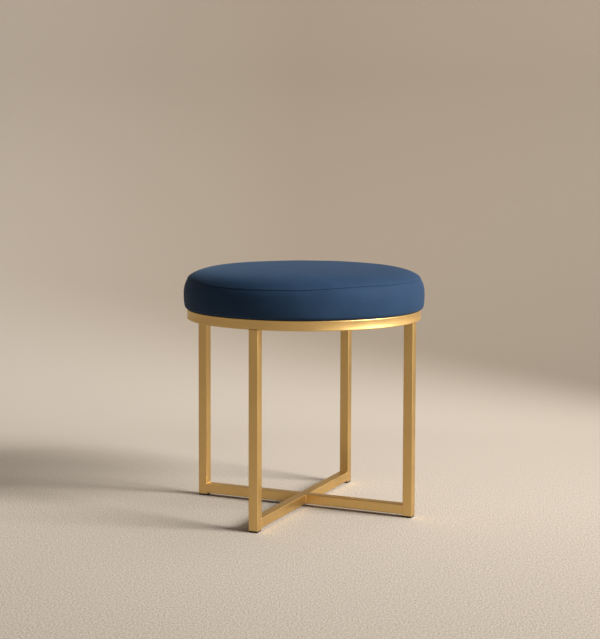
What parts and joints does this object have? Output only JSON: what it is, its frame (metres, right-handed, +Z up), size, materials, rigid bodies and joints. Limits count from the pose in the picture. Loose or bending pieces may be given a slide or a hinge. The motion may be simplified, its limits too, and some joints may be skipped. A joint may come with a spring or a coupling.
{
  "type": "vanity stool",
  "caption": "Round backless dressing-table stool: boxed upholstered cushion on a ring of square tube, straight square legs and crossed bars near the floor.",
  "frame": {"origin": "on the floor, under the middle of the seat", "axes": "+Z up; +X along the through crossbar to the right leg; +Y along the half crossbars to the back leg"},
  "size_m": [0.4458, 0.4458, 0.4557],
  "materials": {
    "satin_gold": "square steel tube with a satin brushed gold finish",
    "zinc_plate": "bright zinc-plated steel fasteners",
    "black_plastic": "moulded black plastic, fine matt texture",
    "plywood": "raw sanded plywood",
    "seat_foam": "open-cell upholstery foam",
    "navy_cloth": "close-woven navy satin-finish upholstery cloth with a soft sheen",
    "black_lining": "thin black non-woven lining"
  },
  "bodies": {
    "root": {"ring_tube": "satin_gold", "crossbar_long": "satin_gold", "crossbar_back": "satin_gold", "crossbar_front": "satin_gold", "leg_right": "satin_gold", "leg_back": "satin_gold", "leg_left": "satin_gold", "leg_front": "satin_gold", "foot_glide_right": "black_plastic", "foot_glide_back": "black_plastic", "foot_glide_left": "black_plastic", "foot_glide_front": "black_plastic", "mounting_tab_1": "satin_gold", "mounting_tab_2": "satin_gold", "mounting_tab_3": "satin_gold", "mounting_tab_4": "satin_gold", "seat_screw_1": "zinc_plate", "seat_screw_2": "zinc_plate", "seat_screw_3": "zinc_plate", "seat_screw_4": "zinc_plate", "screw_washer_1": "zinc_plate", "screw_washer_2": "zinc_plate", "screw_washer_3": "zinc_plate", "screw_washer_4": "zinc_plate", "tee_nut_1": "zinc_plate", "tee_nut_2": "zinc_plate", "tee_nut_3": "zinc_plate", "tee_nut_4": "zinc_plate", "seat_board": "plywood", "foam_pad": "seat_foam", "cover_top_panel": "navy_cloth", "cover_side_band": "navy_cloth", "dust_cover": "black_lining"}
  },
  "joints": []
}
